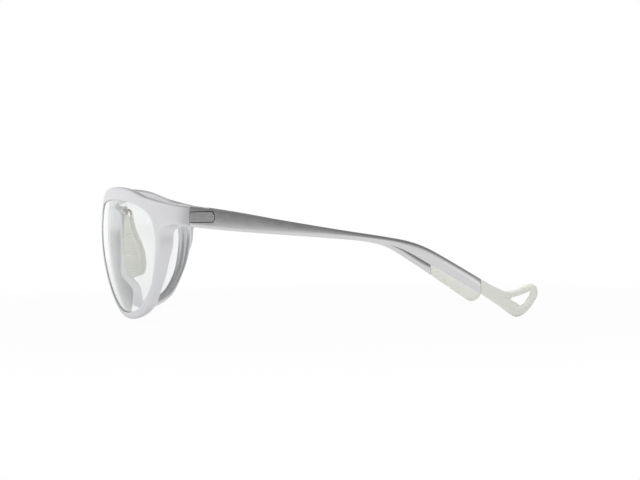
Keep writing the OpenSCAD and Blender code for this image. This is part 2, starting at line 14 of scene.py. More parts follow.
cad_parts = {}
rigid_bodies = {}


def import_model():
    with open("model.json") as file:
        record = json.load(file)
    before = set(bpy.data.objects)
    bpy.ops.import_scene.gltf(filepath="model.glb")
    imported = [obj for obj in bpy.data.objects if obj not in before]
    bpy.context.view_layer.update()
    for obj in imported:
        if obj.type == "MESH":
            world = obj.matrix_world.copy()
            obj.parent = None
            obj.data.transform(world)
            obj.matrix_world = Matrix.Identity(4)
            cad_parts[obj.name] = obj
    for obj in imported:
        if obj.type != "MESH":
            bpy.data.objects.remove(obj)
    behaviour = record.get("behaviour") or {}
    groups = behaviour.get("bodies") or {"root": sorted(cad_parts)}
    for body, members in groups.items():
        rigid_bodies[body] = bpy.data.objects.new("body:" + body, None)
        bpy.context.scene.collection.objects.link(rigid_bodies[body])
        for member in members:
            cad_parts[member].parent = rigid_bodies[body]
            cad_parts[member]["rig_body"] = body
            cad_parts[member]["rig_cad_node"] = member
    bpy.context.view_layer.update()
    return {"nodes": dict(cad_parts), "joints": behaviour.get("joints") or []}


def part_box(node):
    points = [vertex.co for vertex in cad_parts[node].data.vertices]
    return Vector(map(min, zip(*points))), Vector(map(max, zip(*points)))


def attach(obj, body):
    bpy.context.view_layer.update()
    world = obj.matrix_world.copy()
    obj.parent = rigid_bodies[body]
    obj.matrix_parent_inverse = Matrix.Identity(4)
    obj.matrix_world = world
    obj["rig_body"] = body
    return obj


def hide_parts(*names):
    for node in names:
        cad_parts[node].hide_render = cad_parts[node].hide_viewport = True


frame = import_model()
MM = 0.001
hinge = {j["name"]: Vector(j["pos_m"]) for j in frame["joints"]}

# %% [markdown]
# The camera stands to the wearer's left, about two thirds of a metre away, a little above the resting
# surface. Its place was worked out from the near and the far side of the object, whose real sizes are the
# same. It could be aimed with a Track To constraint, but the small turn, dip and roll are known angles,
# so its three axes are written down from them.

# %% Camera
camera_at = Vector((678 * MM, -10.85 * MM, 42.85 * MM))
camera_turn, camera_dip, camera_roll = math.radians(1.26), math.radians(1.04), math.radians(0.8)


def camera_axes(turn, dip, roll):
    forward = Vector((-math.cos(turn) * math.cos(dip), math.sin(turn) * math.cos(dip), -math.sin(dip)))
    level = Vector((math.sin(turn), math.cos(turn), 0))
    upright = level.cross(forward)
    right = math.cos(roll) * level - math.sin(roll) * upright
    return right, right.cross(forward), -forward


camera = bpy.data.objects.new("camera", bpy.data.cameras.new("camera"))
bpy.context.scene.collection.objects.link(camera)
camera.data.sensor_width = 36
camera.data.lens = 88.5
camera.data.clip_start = 0.01
axes = Matrix(camera_axes(camera_turn, camera_dip, camera_roll)).transposed()
camera.matrix_world = Matrix.Translation(camera_at) @ axes.to_4x4()
bpy.context.scene.camera = camera
print("camera looks along", [round(x, 3) for x in -axes.col[2]])

# %% [markdown]
# Everything on the front follows one sphere, the lens curve. The sizes below are the driving ones of the
# solids, and the smooth curves run through the same few points. A curve object could hold the outline,
# but a plain function gives the points that the rim, the lens and the bridge all share.

# %% Sizes of the front and the curve that runs through points
lens_w, lens_h, bridge_w = 52.8 * MM, 46.2 * MM, 19.2 * MM
wrap_r, wrap_rise = 88 * MM, 32.9 * MM
lens_t, lip_t, groove_d = 1.8 * MM, 0.7 * MM, 0.9 * MM
rim_w, brow_h, brow_end_h, bridge_h = 2.6 * MM, 5.2 * MM, 4 * MM, 11 * MM
turn_w, turn_l, end_h, end_t = 5 * MM, 12.5 * MM, 7.8 * MM, 3.8 * MM
rim_t = lens_t + 2 * lip_t
lens_x, lens_z = bridge_w / 2, rim_w
lens_top, wrap_z = lens_z + lens_h, lens_z + wrap_rise
axis = hinge["left_temple_fold"]
turn_x = lens_x + lens_w + rim_w
side_x = turn_x + turn_w
LENS_SHARES = [(0.064, 0.93), (0.235, 0.985), (0.5, 1), (0.76, 0.97), (0.953, 0.88), (1.02, 0.71),
               (1.002, 0.495), (0.912, 0.265), (0.726, 0.08), (0.46, 0), (0.225, 0.03),
               (0.093, 0.18), (0.045, 0.43), (0, 0.73)]


def between(p0, p1, p2, p3, t):
    """A point on a smooth curve between p1 and p2."""
    return 0.5 * (2 * p1 + (p2 - p0) * t + (2 * p0 - 5 * p1 + 4 * p2 - p3) * t ** 2
                  + (3 * p1 - p0 - 3 * p2 + p3) * t ** 3)


def closed_curve(points, steps):
    n = len(points)
    return [between(*(points[(i + k) % n] for k in (-1, 0, 1, 2)), s / steps)
            for i in range(n) for s in range(steps)]


def open_curve(points, steps):
    n = len(points)
    inner = [between(*(points[min(max(i + k, 0), n - 1)] for k in (-1, 0, 1, 2)), s / steps)
             for i in range(n - 1) for s in range(steps)]
    return inner + [points[-1]]


def smooth(t):
    t = min(max(t, 0), 1)
    return t * t * (3 - 2 * t)


def front_depth(x, z, below=0):
    """Depth of the sphere that lies that far below the front's surface, behind the front-most point."""
    return wrap_r - math.sqrt((wrap_r - below) ** 2 - x ** 2 - (z - wrap_z) ** 2)


front_y = axis.y - (front_depth(turn_x, axis.z) + turn_l)


def lens_outline(steps):
    points = [Vector((lens_x + lens_w * a, lens_z + lens_h * b)) for a, b in LENS_SHARES]
    return closed_curve(points, steps)


def outward(line, i):
    d = line[(i + 1) % len(line)] - line[i - 1]
    return Vector((-d.y, d.x)).normalized()


lens_line = lens_outline(4)
lens_out = [outward(lens_line, i) for i in range(len(lens_line))]
print("front-most point at Y", round(front_y / MM, 2), "mm;", len(lens_line), "points round a lens")

# %% [markdown]
# A few helpers are used by every piece. Blender's operators act on whatever is selected, so each step
# begins by clearing the selection, and faces are then chosen by their place.

# %% Helpers for selecting and shaping
def clear():
    if bpy.context.object and bpy.context.object.mode != "OBJECT":
        bpy.ops.object.mode_set(mode="OBJECT")
    bpy.ops.object.select_all(action="DESELECT")


def only(piece):
    clear()
    piece.select_set(True)
    bpy.context.view_layer.objects.active = piece


def edit_all(piece):
    """Goes into edit mode with the whole mesh selected."""
    only(piece)
    bpy.ops.object.mode_set(mode="EDIT")
    bpy.ops.mesh.select_all(action="SELECT")


def settle(piece, name):
    """Names the piece and puts its place into its mesh, so that the object itself sits at the origin."""
    only(piece)
    piece.name = name
    piece.data.name = name
    bpy.ops.object.transform_apply(location=True, rotation=True, scale=True)
    return piece


def choose(piece, test):
    """Selects the faces whose test is true, and goes into edit mode."""
    only(piece)
    bpy.ops.object.mode_set(mode="EDIT")
    bpy.ops.mesh.select_mode(type="FACE")
    bpy.ops.mesh.select_all(action="DESELECT")
    bpy.ops.object.mode_set(mode="OBJECT")
    chosen = [p for p in piece.data.polygons if test(p)]
    for polygon in chosen:
        polygon.select = True
    bpy.ops.object.mode_set(mode="EDIT")
    return len(chosen)


def modify(piece, kind, **settings):
    """Adds a modifier, sets it and applies it."""
    only(piece)
    modifier = piece.modifiers.new(kind.lower(), kind)
    for setting, value in settings.items():
        setattr(modifier, setting, value)
    bpy.ops.object.modifier_apply(modifier=modifier.name)
    return piece


def outside(piece):
    """Merges doubles and turns all faces outwards."""
    edit_all(piece)
    bpy.ops.mesh.remove_doubles(threshold=0.002 * MM)
    bpy.ops.mesh.normals_make_consistent(inside=False)
    bpy.ops.object.mode_set(mode="OBJECT")


def soften(piece, degrees=38):
    only(piece)
    bpy.ops.object.shade_smooth_by_angle(angle=math.radians(degrees))


def key(point):
    return tuple(round(c / MM, 4) for c in point)


def subdivided(piece, levels):
    return modify(piece, "SUBSURF", levels=levels, render_levels=levels)


def trim(piece, y, **cleared):
    """Cuts straight through the piece at y, clears one side and closes the cut."""
    edit_all(piece)
    bpy.ops.mesh.bisect(plane_co=(0, y, 0), plane_no=(0, 1, 0), use_fill=True, **cleared)
    bpy.ops.object.mode_set(mode="OBJECT")


def mirror_across(piece):
    """Mirrors the mesh across the middle, to the wearer's right side."""
    edit_all(piece)
    bpy.ops.transform.mirror(constraint_axis=(True, False, False), center_override=(0, 0, 0))
    bpy.ops.mesh.flip_normals()
    bpy.ops.object.mode_set(mode="OBJECT")


def mirrored_copy(piece, name):
    """A copy for the wearer's right side, with its own mesh."""
    only(piece)
    bpy.ops.object.duplicate()
    twin = bpy.context.object
    mirror_across(twin)
    twin.name = name
    twin.data.name = name
    return twin


def report(piece):
    corners = [v.co for v in piece.data.vertices]
    low = [round(min(c[k] for c in corners) / MM, 2) for k in range(3)]
    high = [round(max(c[k] for c in corners) / MM, 2) for k in range(3)]
    print(f"{piece.name}: {len(piece.data.polygons)} faces, from {low} to {high} mm")


# %% [markdown]
# The front is one moulding: two rims, a bridge and two end pieces that turn back to the hinges. It could
# be cut from a bent plate with booleans, but that leaves hard, uneven edges. A ring is the natural start
# for a rim, so a torus gets one loop of points for each point of the lens outline, and the points of each
# loop are moved to the rim's section. The section has two lips and a groove between them for the lens.

# %% The rim from a torus
edge, lip, groove_air = 0.42 * MM, 0.26 * MM, 0.05 * MM
side_slimmer, side_deeper = 1.05 * MM, 1.15 * MM


def rim_width(normal):
    """Height of the brow above, and a slimmer rim on the side towards the temple."""
    brow = brow_h - (brow_h - brow_end_h) * smooth(normal.x / 0.35)
    slim = side_slimmer * smooth((normal.x - 0.5) / 0.4)
    return rim_w - slim + (brow - rim_w) * smooth((normal.y + 0.1) / 0.8)


def rear_edge(normal):
    """How far the rear outer edge is rounded: much at the brow and below, little beside the temple."""
    if normal.x < 0 and normal.y < 0.6:
        return edge
    beside = smooth((normal.x - 0.3) / 0.4) * smooth((normal.y + 0.3) / 0.2)
    return (1.25 - 0.8 * beside) * MM


def rim_depth(normal):
    """Depth of the rim, which is fuller on the side towards the temple, where the end piece begins."""
    beside = smooth((normal.x - 0.45) / 0.4) * smooth((normal.y + 0.75) / 0.75)
    return rim_t + side_deeper * beside * smooth((0.55 - normal.y) / 0.3)


def rim_section(normal):
    """Points of the rim's section: distance outside the lens opening, and depth below the surface."""
    width, rear, deep = rim_width(normal), rear_edge(normal), rim_depth(normal)
    groove_0, groove_1 = lip_t - groove_air, lip_t + lens_t + groove_air
    return [(0, lip), (lip, 0), (width / 2, 0), (width - edge, 0), (width, edge),
            (width, (deep - rear) * 0.55), (width, deep - rear), (width - rear, deep),
            ((width - rear + lip) / 2, deep), (lip, deep),
            (0, deep - lip), (0, groove_1), (groove_d + groove_air, groove_1),
            (groove_d + groove_air, groove_0), (0, groove_0)]


def on_front(i, across, below):
    at = lens_line[i] + lens_out[i] * across
    return Vector((at.x, front_y + front_depth(at.x, at.y, below), at.y))


SECTION_N = len(rim_section(lens_out[0]))
clear()
bpy.ops.mesh.primitive_torus_add(major_segments=len(lens_line), minor_segments=SECTION_N,
                                 major_radius=lens_w / 2, minor_radius=rim_w / 2)
front = settle(bpy.context.object, "front_moulding")
spot = {}
for i, normal in enumerate(lens_out):
    for j, (across, below) in enumerate(rim_section(normal)):
        vertex = front.data.vertices[i * SECTION_N + j]
        vertex.co = on_front(i, across, below)
        spot[key(vertex.co)] = (i, j)
report(front)

# %% [markdown]
# The end piece, the bridge and the wall beside the nose grow out of the rim. Each is an extrusion of a
# patch of the rim's faces in a few steps, and each corner of the patch runs along its own smooth path to
# where it ends. Nothing has to be joined afterwards, and the fillets come by themselves when the whole
# moulding is subdivided.

# %% Growing a patch of faces along paths
def grow(piece, rows, columns, steps, path):
    """Extrudes the faces between those rows and columns of the rim. path gives where a corner is."""
    def inside(polygon):
        marks = [spot.get(key(piece.data.vertices[v].co)) for v in polygon.vertices]
        return all(m and m[0] in rows and m[1] in columns for m in marks)

    count = choose(piece, inside)
    bpy.ops.object.mode_set(mode="OBJECT")
    began = {key(v.co): spot[key(v.co)] + (v.co.copy(),) for v in piece.data.vertices if v.select}
    for step in range(1, steps + 1):
        bpy.ops.object.mode_set(mode="EDIT")
        bpy.ops.mesh.extrude_region_move()
        bpy.ops.object.mode_set(mode="OBJECT")
        moved = {}
        for vertex in piece.data.vertices:
            if vertex.select:
                row, column, start = began[key(vertex.co)]
                vertex.co = path(row, column, start, step / steps)
                moved[key(vertex.co)] = (row, column, start)
        began = moved
    return count


def along(start, start_way, finish, finish_way, share):
    """A smooth path from start to finish that leaves and arrives in the given directions."""
    reach = (finish - start).length
    return between(finish - 2 * reach * start_way, start, finish, start + 2 * reach * finish_way, share)


# %% [markdown]
# The end piece turns back from the rim to the hinge. Its rows leave the rim along the sphere and arrive
# with the slope of the temple. A bent and tapered cube would have to be joined on, and these need no join.

# %% The end piece
droop = {"left": math.radians(7.6), "right": math.radians(9)}
end_past = 2 * MM
end_low, end_high = 34 * MM, 49.6 * MM
rim_edge = [p + lens_out[i] * rim_width(lens_out[i]) for i, p in enumerate(lens_line)]
end_rows = [i for i, p in enumerate(rim_edge) if lens_out[i].x > 0 and end_low < p.y < end_high]
end_through = {3: 0, 4: 0.13, 5: 0.5, 6: 0.87, 7: 1}


def end_path(row, column, start, share):
    place = (row - end_rows[0]) / (end_rows[-1] - end_rows[0])
    up = 1 - smooth(place) * 0.35 - place * 0.65
    finish = Vector((side_x - end_through[column] * end_t, axis.y + end_past,
                     axis.z + (up - 0.5) * end_h - end_past * math.tan(droop["left"])))
    slope = math.asin(min(start.x / wrap_r, 1))
    leave = Vector((math.cos(slope), math.sin(slope), 1 - 1.15 * up))
    arrive = 1.35 * Vector((0, 1, -math.tan(droop["left"]) * 0.5))
    return along(start, leave, finish, arrive, share)


print("end piece grows from", grow(front, end_rows, end_through, 5, end_path), "faces")

# %% [markdown]
# The bridge grows from the upper nasal side of the rim to the middle, where its end is open and meets its
# mirror image. Its underside is a low arch over the nose.

# %% The bridge, up to the middle
bridge_t = rim_t + 0.6 * MM
arch = 2.6 * MM
bridge_low, bridge_side = 37 * MM, 13.5 * MM
bridge_rows = [i for i, p in enumerate(rim_edge)
               if lens_line[i].x < lens_x + 0.1 * lens_w and p.y > bridge_low and p.x < bridge_side]
bridge_rows.sort(key=lambda i: (lens_line[i] + lens_out[i] * rim_w).y)
bridge_through = {3: 0, 4: 0.15, 5: 0.5, 6: 0.85, 7: 1}


def bridge_path(row, column, start, share):
    up = bridge_rows.index(row) / (len(bridge_rows) - 1)
    z = lens_top - (bridge_h - arch) * (1 - up)
    finish = Vector((0, front_y + front_depth(0, z) + bridge_through[column] * bridge_t, z))
    leave = Vector((-1, -0.1, 0.2 - 0.4 * up))
    return along(start, leave, finish, Vector((-1, 0, 0)), share)


print("bridge grows from", grow(front, bridge_rows, bridge_through, 4, bridge_path), "faces")
bpy.ops.object.mode_set(mode="EDIT")
bpy.ops.mesh.delete(type="FACE")
bpy.ops.object.mode_set(mode="OBJECT")
report(front)

# %% [markdown]
# The wall beside the nose stands behind the nasal side of the rim. The rear faces of the rim are pulled
# straight back in two steps, so that the wall keeps the rim's outline and needs no loft of its own.

# %% The wall beside the nose
nasal_wall_y, flange_y, flange_z = 9.3 * MM, 14.4 * MM, 13 * MM
wall_x, foot_x, foot_z = lens_x + 0.24 * lens_w, lens_x + 0.42 * lens_w, 9 * MM
wall_rows = [i for i, p in enumerate(lens_line) if p.x < wall_x or (p.x < foot_x and p.y < foot_z)]
wall_columns = (7, 8, 9)


def wall_depth(x, z):
    """The wall is deepest at its lower flange, whose foot runs round below the lens into the rim."""
    flange = smooth((flange_z + 2.5 * MM - z) / (4 * MM))
    beside = smooth((wall_x - x) / (5 * MM)) * smooth((lens_top - z) / (5 * MM))
    foot = smooth((foot_x - x) / (6 * MM)) * smooth((foot_z + 3 * MM - z) / (3 * MM))
    return (nasal_wall_y + (flange_y - nasal_wall_y) * flange) * max(beside, foot)


def wall_path(row, column, start, share):
    depth = max(start.y - front_y + 0.02 * MM, wall_depth(start.x, start.z))
    return Vector((start.x, start.y + (front_y + depth - start.y) * share, start.z))


print("nasal wall grows from", grow(front, wall_rows, wall_columns, 2, wall_path), "faces")

# %% [markdown]
# The half is mirrored across the middle and subdivided twice, which rounds every edge like a moulding.
# The corner below each end piece is then smoothed, most at its middle, so that it flows into the rim.
# The end pieces were left a little long, and a straight cut at the joint gives each a crisp flat end.
# The slots for the hinge leaves and the relief round the knuckles are cut last, with plain cutters.

# %% Mirror, subdivide and cut to length
modify(front, "MIRROR", use_axis=(True, False, False), use_mirror_merge=True, merge_threshold=0.02 * MM,
       use_clip=True)
outside(front)
subdivided(front, 2)
fillet = front.vertex_groups.new(name="fillet")
fillet_at, fillet_r = Vector((66 * MM, front_y + 32.5 * MM, 34.2 * MM)), 8 * MM
for vertex in front.data.vertices:
    away = (Vector((abs(vertex.co.x), vertex.co.y, vertex.co.z)) - fillet_at).length
    if away < fillet_r:
        fillet.add([vertex.index], smooth(1.3 * (1 - away / fillet_r)), "REPLACE")
modify(front, "SMOOTH", factor=0.8, iterations=14, vertex_group="fillet")
joint_gap = 0.1 * MM
rear_y = axis.y - joint_gap
trim(front, rear_y, clear_outer=True)
report(front)


def cutter(shape, low, high):
    """A block or round bar between two corners, to be taken away from a piece."""
    clear()
    middle = (Vector(low) + Vector(high)) / 2
    if shape == "block":
        bpy.ops.mesh.primitive_cube_add(size=1, location=middle)
    else:
        bpy.ops.mesh.primitive_cylinder_add(vertices=48, radius=0.5, depth=1, location=middle)
    tool = bpy.context.object
    tool.scale = Vector(high) - Vector(low)
    return settle(tool, "cutter")


def cut(piece, tools, both_sides=False, operation="DIFFERENCE"):
    for tool in tools:
        if both_sides:
            modify(tool, "MIRROR", use_axis=(True, False, False))
        modify(piece, "BOOLEAN", operation=operation, object=tool, solver="EXACT")
        bpy.data.objects.remove(tool)


knuckle_r, relief = 1.6 * MM, 0.15 * MM
leaf_low, leaf_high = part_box("front_leaf_left")
seat, block_l, throat_l, slot_skin, overlap = 0.04 * MM, 4 * MM, 2.6 * MM, 1.1 * MM, 0.2 * MM
relief_r = knuckle_r + relief
slot_low = Vector((axis.x + relief_r, rear_y - block_l - seat, leaf_low.z - seat))
slot_high = Vector((side_x - slot_skin + seat, rear_y + MM, leaf_high.z + seat))
cut(front, [cutter("block", slot_low, slot_high),
            cutter("block", (axis.x - seat, rear_y - throat_l - seat, leaf_low.z - seat),
                   (slot_low.x + overlap, slot_high.y, leaf_high.z + seat)),
            cutter("round", (axis.x - relief_r, axis.y - relief_r, leaf_low.z - seat),
                   (axis.x + relief_r, axis.y + relief_r, axis.z + end_h))], both_sides=True)
soften(front)
report(front)

# %% [markdown]
# A lens is a piece of a spherical shell. Solidify could thicken one curved sheet, but then the edge would
# lean out of its groove. So a grid is rolled into rings that grow from the middle of the front surface to
# the edge, turn over it, and shrink again to the middle of the rear surface.

# %% Rolling a grid into a tube of rings
def loft(name, rings, caps=True):
    """Skins rings of points, which all have as many points, from first to last."""
    across, count = len(rings), len(rings[0])
    clear()
    bpy.ops.mesh.primitive_grid_add(x_subdivisions=count, y_subdivisions=across - 1, size=MM)
    piece = settle(bpy.context.object, name)
    for k, ring in enumerate(rings):
        for i in range(count + 1):
            piece.data.vertices[k * (count + 1) + i].co = ring[i % count]
    outside(piece)
    if caps:
        edit_all(piece)
        bpy.ops.mesh.fill_holes(sides=0)
        bpy.ops.mesh.normals_make_consistent(inside=False)
        bpy.ops.object.mode_set(mode="OBJECT")
    return piece


# %% Lenses
lens_rings = 14
fine_line = lens_outline(12)
edge_line = [p + outward(fine_line, i) * (groove_d - 0.04 * MM) for i, p in enumerate(fine_line)]
lens_middle = Vector((lens_x + lens_w / 2, lens_z + lens_h / 2))


def lens_ring(share, below):
    flat = [lens_middle + (p - lens_middle) * share for p in edge_line]
    return [Vector((p.x, front_y + front_depth(p.x, p.y, lip_t + below), p.y)) for p in flat]


chamfer = 0.1 * MM
broken = 1 - chamfer / (lens_w / 2)
shares = [k / lens_rings for k in range(lens_rings)]
lens_left = loft("lens_clear_left",
                 [lens_ring(share, 0) for share in shares] + [lens_ring(broken, 0), lens_ring(1, chamfer)]
                 + [lens_ring(1, lens_t - chamfer), lens_ring(broken, lens_t)]
                 + [lens_ring(share, lens_t) for share in reversed(shares)], caps=False)
soften(lens_left, 30)
lens_right = mirrored_copy(lens_left, "lens_clear_right")
report(lens_left)

# %% [markdown]
# A temple is a long moulding that tapers, bends down behind the ear and bows inwards. Its section turns
# from a crisp rectangle at the hinge into a soft oval behind the ear, so it is skinned through sections
# of one formula instead of a bevelled box.

# %% The temple's centre line and sections
temple_l, right_temple_l = 137 * MM, 127.7 * MM
tip_l = {"left": 23.5 * MM, "right": 22.7 * MM}
bend_s = {"left": 84 * MM, "right": 87.5 * MM}
bend_soft = 4 * MM
waist_h, ear_h = 2.8 * MM, 5.2 * MM
temple_t, temple_thin_t = 3.6 * MM, 2.8 * MM
tip_inset, bow_s, tip_t = 15 * MM, 40 * MM, 4.4 * MM
seam_z = {"left": 12.4 * MM, "right": 15.4 * MM}
tip_s = {"left": temple_l - tip_l["left"], "right": right_temple_l - tip_l["right"]}


def soft_step(s, side):
    return bend_soft * math.log(1 + math.exp((s - bend_s[side]) / bend_soft))


def temple_z(s, side):
    fall = math.tan(droop[side])
    steeper = (axis.z - fall * tip_s[side] - seam_z[side]) / soft_step(tip_s[side], side)
    return axis.z - fall * s - steeper * soft_step(s, side)


def temple_slope(s, side):
    return (temple_z(s + 0.5 * MM, side) - temple_z(s - 0.5 * MM, side)) / MM


def temple_h(s, side):
    taper = smooth((s - 2 * MM) / (bend_s[side] - 9 * MM))
    swell = smooth((s - bend_s[side] + 8 * MM) / (18 * MM))
    return end_h - (end_h - waist_h) * taper + (ear_h - waist_h) * swell


def temple_x(s):
    return side_x - tip_inset * (max(0, s - bow_s) / (temple_l - bow_s)) ** 2


def temple_thick(s):
    return temple_t - (temple_t - temple_thin_t) * smooth((s / MM - 12) / 40)


def oval(wide, high, power, count):
    """A closed section between a circle, at power 2, and a rectangle, at a high power."""
    turns = [2 * math.pi * (k + 0.5) / count for k in range(count)]

    def grow_to(c, half):
        return math.copysign(abs(c) ** (2 / power), c) * half

    return [Vector((grow_to(math.cos(a), wide / 2), grow_to(math.sin(a), high / 2))) for a in turns]


def temple_ring(s, side, inset=0):
    """A section at s along the temple. Both ends stand upright, and the rest square to the run."""
    power = 11 - 8.95 * smooth((s / MM - 8) / 62)
    crown = (0.08 + 0.06 * smooth(s / (12 * MM))) * MM
    half = temple_h(s, side) / 2
    slope = temple_slope(s, side)
    upright = s < 2 * MM or s > tip_s[side] - MM
    tilt = Vector((0, math.sqrt(1 + slope ** 2))) if upright else Vector((-slope, 1)).normalized()
    middle_x = temple_x(s) - temple_thick(s) / 2
    section = oval(temple_thick(s) - 2 * inset, temple_h(s, side) - 2 * inset, power, 40)
    bowed = [Vector((p.x - (crown * (p.y / half) ** 2 if p.x > 0 else 0), p.y)) for p in section]
    return [Vector((middle_x + p.x, axis.y + s + p.y * tilt.x, temple_z(s, side) + p.y * tilt.y))
            for p in bowed]


def make_temple(side):
    last = tip_s[side]
    stations = [k * 2 * MM for k in range(int(last / (2 * MM)))]
    stations = [s for s in stations if MM < s < last - 2 * MM]
    ends = [(0.02 * MM, 0.14 * MM), (0.14 * MM, 0.02 * MM), (0.5 * MM, 0)]
    seam = [(0.5 * MM, 0), (0.06 * MM, 0), (0.01 * MM, 0.05 * MM)]
    rings = [temple_ring(s, side, inset) for s, inset in ends]
    rings += [temple_ring(s, side) for s in stations]
    rings += [temple_ring(last - s, side, inset) for s, inset in seam]
    return loft("temple_shell_" + side, rings)


# %% [markdown]
# The front leaf's tongue lies flush in a pocket of the temple, with a fine gap all round. The pocket and
# the room for the knuckles and the temple's own leaf are cut with plain bars. An inset and an extrusion
# would follow the faces of the temple, but the pocket has to follow the tongue.

# %% Temples with their pockets for the hinge
tongue_l, tongue_h, tongue_t, pocket_gap = 9.6 * MM, 3.8 * MM, 1.5 * MM, 0.3 * MM
plate_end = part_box("temple_leaf_left")[1].y
plate_half_h, plate_past, plate_t = 2.1 * MM, 0.4 * MM, 0.95 * MM
tongue_z = axis.z - 0.3 * MM


def tongue_pocket(r):
    """A cutter for the pocket in which the tongue lies, with a round end."""
    past, end_r = 2 * MM, 1.25 * r
    floor_x, end_y = side_x - tongue_t - pocket_gap, axis.y + tongue_l + pocket_gap
    low = (floor_x, axis.y - past, tongue_z - r)
    clear()
    bpy.ops.mesh.primitive_cylinder_add(vertices=48, radius=end_r, depth=MM)
    tool = bpy.context.object
    tool.rotation_euler = (0, math.pi / 2, 0)
    tool.location = (floor_x + past, end_y - end_r, tongue_z)
    tool.scale = (1, 1, 4)
    tool = settle(tool, "cutter")
    bar = cutter("block", low, (side_x + past, axis.y + tongue_l + past, tongue_z + r))
    cut(tool, [bar], operation="INTERSECT")
    run = cutter("block", low, (side_x + past, end_y - 0.6 * r, tongue_z + r))
    cut(tool, [run], operation="UNION")
    return tool


def hinge_cutters():
    relief_bar = cutter("round", (axis.x - relief_r, axis.y - relief_r, axis.z - end_h),
                        (axis.x + relief_r, axis.y + relief_r, axis.z + end_h))
    plate_x1 = side_x - temple_t - plate_past + plate_t
    plate = cutter("block", (plate_x1 - 3 * MM, axis.y - 2 * MM, axis.z - plate_half_h - seat),
                   (plate_x1 + seat, plate_end + seat, axis.z + plate_half_h + seat))
    return [relief_bar, plate, tongue_pocket(tongue_h / 2 + pocket_gap)]


temple_left, temple_right = make_temple("left"), make_temple("right")
for temple in (temple_left, temple_right):
    cut(temple, hinge_cutters())
    soften(temple, 34)
mirror_across(temple_right)
report(temple_left)
report(temple_right)

# %% [markdown]
# The silicone tips are soft and rounded all over. The left one ends in a loop for a cord: seen from the
# side it is a ring round a small triangle, so it starts as a torus too. Each of its loops runs from the
# hole out to the silhouette and back, with round ends.

# %% The tip with its loop
LOOP_OUTLINE = [(5.5, 11.8), (8.5, 10.55), (11.5, 10.3), (15, 11.15), (18.5, 12.5), (20.6, 13.05),
                (22.7, 12.3), (23.5, 10), (23.1, 7.6), (20.7, 3.9), (17.5, 0.9), (14.6, -0.1),
                (12.1, 0.8), (7.5, 4.3)]
LOOP_HOLE = [(12.5, 7.1), (16.7, 8.6), (20.5, 9.9), (19.3, 7.4), (16.8, 4.4), (14.8, 5.5)]
BLUNT_OUTLINE = [(7.5, 13.65), (15, 9.25), (20.5, 6.35), (22.65, 4.5), (22.55, 2.35), (20.8, 0.6),
                 (18.6, 0), (16.4, 0.7), (12.5, 3.3), (6.5, 7.6)]
seat_s = 0.05 * MM
tip_past = 2.5 * MM


def tip_outline(side, points):
    """The silhouette with its run past the seam, where it is cut off at the end."""
    s0, slope = tip_s[side] + seat_s, temple_slope(tip_s[side], side)
    half = ear_h / 2 * math.sqrt(1 + slope ** 2)
    top = Vector((s0, seam_z[side] + half))
    low = Vector((s0, seam_z[side] - half))
    past = Vector((-tip_past, -tip_past * slope))
    body = [Vector((s0 + a * MM, b * MM)) for a, b in points]
    return [top + past, top] + body + [low, low + past]


def spread(points, count):
    """That many points at even distances along a line of points."""
    marks = [0]
    for a, b in zip(points, points[1:]):
        marks.append(marks[-1] + (b - a).length)
    found, k = [], 0
    for n in range(count):
        want = marks[-1] * n / (count - 1)
        while k < len(marks) - 2 and marks[k + 1] < want:
            k += 1
        share = (want - marks[k]) / max(marks[k + 1] - marks[k], 1e-9)
        found.append(points[k].lerp(points[k + 1], share))
    return found


def tip_thick(s, side):
    """Thickness of a tip: as thin as the temple at the seam, then full."""
    behind = (s - tip_s[side]) / MM
    return temple_thin_t + 0.25 * MM + (tip_t - temple_thin_t - 0.25 * MM) * smooth(behind / 7)


def core_x(s):
    return temple_x(s) - temple_thin_t / 2


def loop_tip():
    count, minor = 72, 16
    outer = spread(open_curve(tip_outline("left", LOOP_OUTLINE), 8), count)
    s0 = tip_s["left"] + seat_s
    hole = closed_curve([Vector((s0 + a * MM, b * MM)) for a, b in LOOP_HOLE], 16)
    nose = min(range(len(hole)), key=lambda i: hole[i].x)
    hole = spread(hole[nose:] + hole[:nose + 1], count + 1)[:-1]
    clear()
    bpy.ops.mesh.primitive_torus_add(major_segments=count, minor_segments=minor, major_radius=5 * MM,
                                     minor_radius=2 * MM)
    piece = settle(bpy.context.object, "tip_with_loop")
    for i in range(count):
        a, b = hole[i], outer[i]
        for j, p in enumerate(oval((b - a).length, 1, 3.2, minor)):
            share = 0.5 + p.x / (b - a).length
            at = a.lerp(b, share)
            x = core_x(at.x) + p.y * tip_thick(at.x, "left")
            piece.data.vertices[i * minor + j].co = (x, axis.y + at.x, at.y)
    outside(piece)
    return piece


tip_left = loop_tip()
modify(tip_left, "SMOOTH", factor=0.5, iterations=2)
subdivided(tip_left, 1)
trim(tip_left, axis.y + tip_s["left"] + seat_s, clear_inner=True)
soften(tip_left)
report(tip_left)

# %% [markdown]
# The plain tip has no hole, so it is skinned from its seam to its blunt end. Each section spans the upper
# and the lower line of its silhouette, and the last ones close to a round end.

# %% The plain tip
def blunt_tip():
    outline = open_curve(tip_outline("right", BLUNT_OUTLINE), 8)
    end = max(range(len(outline)), key=lambda i: outline[i].x - outline[i].y * 0.7)
    count, rings = 40, []
    top, low = spread(outline[:end + 1], count), spread(outline[end:][::-1], count)
    for k, (a, b) in enumerate(zip(top, low)):
        share = k / (count - 1)
        close = math.sqrt(max(1 - smooth((share - 0.8) / 0.2) ** 2, 0.002))
        middle, half = (a + b) / 2, (a - b) / 2
        ring = []
        for p in oval(1, 1, 2.9, 28):
            at = middle + half * 2 * p.y
            x = core_x(at.x) + p.x * tip_thick(at.x, "right") * close
            ring.append(Vector((x, axis.y + at.x, at.y)))
        rings.append(ring)
    return loft("tip_plain", rings)


tip_right = blunt_tip()
trim(tip_right, axis.y + tip_s["right"] + seat_s, clear_inner=True)
soften(tip_right)
mirror_across(tip_right)
report(tip_right)

